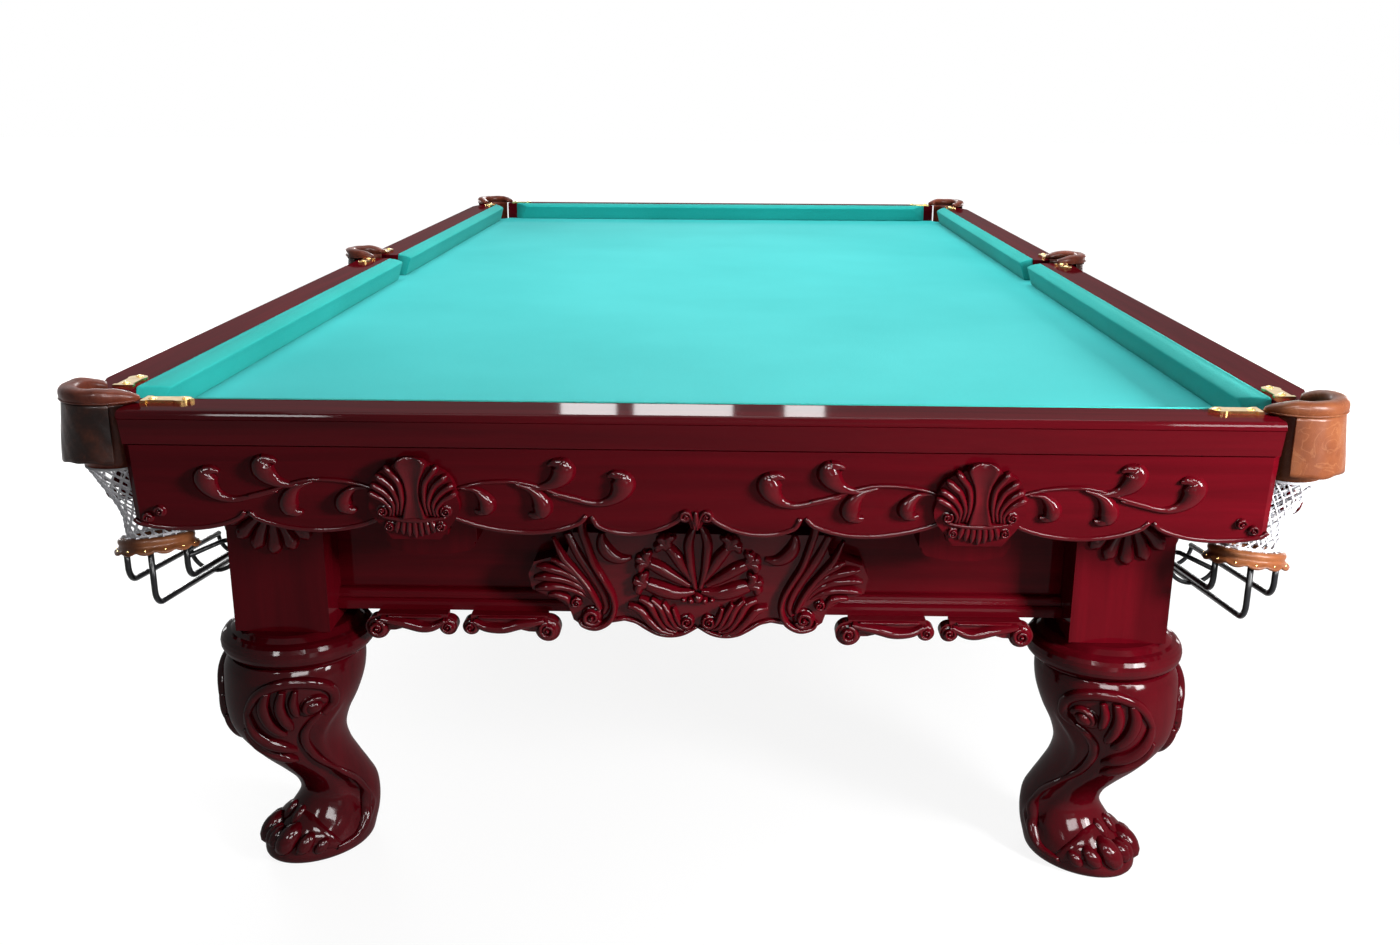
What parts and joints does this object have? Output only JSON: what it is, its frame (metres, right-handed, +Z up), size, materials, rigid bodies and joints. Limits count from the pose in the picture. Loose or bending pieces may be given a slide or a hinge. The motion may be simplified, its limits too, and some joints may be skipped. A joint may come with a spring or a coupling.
{
  "type": "russian billiards table",
  "caption": "Full-size billiards table with netted pockets, carved aprons, cabriole legs, under-rail ball racks and levelling feet",
  "frame": {"origin": "On the floor under the centre of the table, the bottom centre of the bounding box.", "axes": "X across the table, Y along its length, Z up. The end towards -Y is the one nearest the camera in the picture."},
  "size_m": [2.136, 3.802, 0.901],
  "materials": {
    "mahogany": "gloss",
    "cloth": "woven",
    "cushion_cloth": "woven",
    "slate": "honed",
    "leather": "waxed",
    "ring_leather": "waxed",
    "net_cord": "knotted cord",
    "rack_steel": "satin black",
    "steel": "zinc plated",
    "brass": "polished",
    "frame_wood": "bare"
  },
  "bodies": {
    "table": {"bed_cloth": "cloth", "slate_front": "slate", "slate_centre": "slate", "slate_rear": "slate", "end_rail_front": "mahogany", "end_rail_rear": "mahogany", "side_rail_left_front": "mahogany", "side_rail_left_rear": "mahogany", "side_rail_right_front": "mahogany", "side_rail_right_rear": "mahogany", "cushion_front": "cushion_cloth", "cushion_rear": "cushion_cloth", "cushion_left_front": "cushion_cloth", "cushion_left_rear": "cushion_cloth", "cushion_right_front": "cushion_cloth", "cushion_right_rear": "cushion_cloth", "pocket_leather_left_front": "leather", "pocket_leather_left_middle": "leather", "pocket_leather_left_rear": "leather", "pocket_leather_right_front": "leather", "pocket_leather_right_middle": "leather", "pocket_leather_right_rear": "leather", "pocket_net_left_front": "net_cord", "pocket_net_left_middle": "net_cord", "pocket_net_left_rear": "net_cord", "pocket_net_right_front": "net_cord", "pocket_net_right_middle": "net_cord", "pocket_net_right_rear": "net_cord", "ball_rings": "ring_leather", "ball_rack_left_front": "rack_steel", "ball_rack_left_middle": "rack_steel", "ball_rack_left_rear": "rack_steel", "ball_rack_right_front": "rack_steel", "ball_rack_right_middle": "rack_steel", "ball_rack_right_rear": "rack_steel", "end_apron_front": "mahogany", "end_apron_rear": "mahogany", "side_apron_left_front": "mahogany", "side_apron_left_rear": "mahogany", "side_apron_right_front": "mahogany", "side_apron_right_rear": "mahogany", "end_beams": "mahogany", "side_beams": "mahogany", "cross_beams": "frame_wood", "corbels": "mahogany", "beam_mouldings": "mahogany", "scroll_trims": "mahogany", "leg_blocks": "mahogany", "leg_collars": "mahogany", "legs_front": "mahogany", "legs_middle": "mahogany", "legs_rear": "mahogany", "metal_brackets": "brass", "frame_fasteners": "steel"},
    "foot_left_front": {"leveller_left_front": "steel"},
    "foot_left_middle": {"leveller_left_middle": "steel"},
    "foot_left_rear": {"leveller_left_rear": "steel"},
    "foot_right_front": {"leveller_right_front": "steel"},
    "foot_right_middle": {"leveller_right_middle": "steel"},
    "foot_right_rear": {"leveller_right_rear": "steel"}
  },
  "joints": [
    {"name": "foot_left_front_screw", "type": "slide", "parent": "table", "child": "foot_left_front", "axis": [0, 0, -1], "range_m": [0, 0.025]},
    {"name": "foot_left_middle_screw", "type": "slide", "parent": "table", "child": "foot_left_middle", "axis": [0, 0, -1], "range_m": [0, 0.025]},
    {"name": "foot_left_rear_screw", "type": "slide", "parent": "table", "child": "foot_left_rear", "axis": [0, 0, -1], "range_m": [0, 0.025]},
    {"name": "foot_right_front_screw", "type": "slide", "parent": "table", "child": "foot_right_front", "axis": [0, 0, -1], "range_m": [0, 0.025]},
    {"name": "foot_right_middle_screw", "type": "slide", "parent": "table", "child": "foot_right_middle", "axis": [0, 0, -1], "range_m": [0, 0.025]},
    {"name": "foot_right_rear_screw", "type": "slide", "parent": "table", "child": "foot_right_rear", "axis": [0, 0, -1], "range_m": [0, 0.025]}
  ]
}
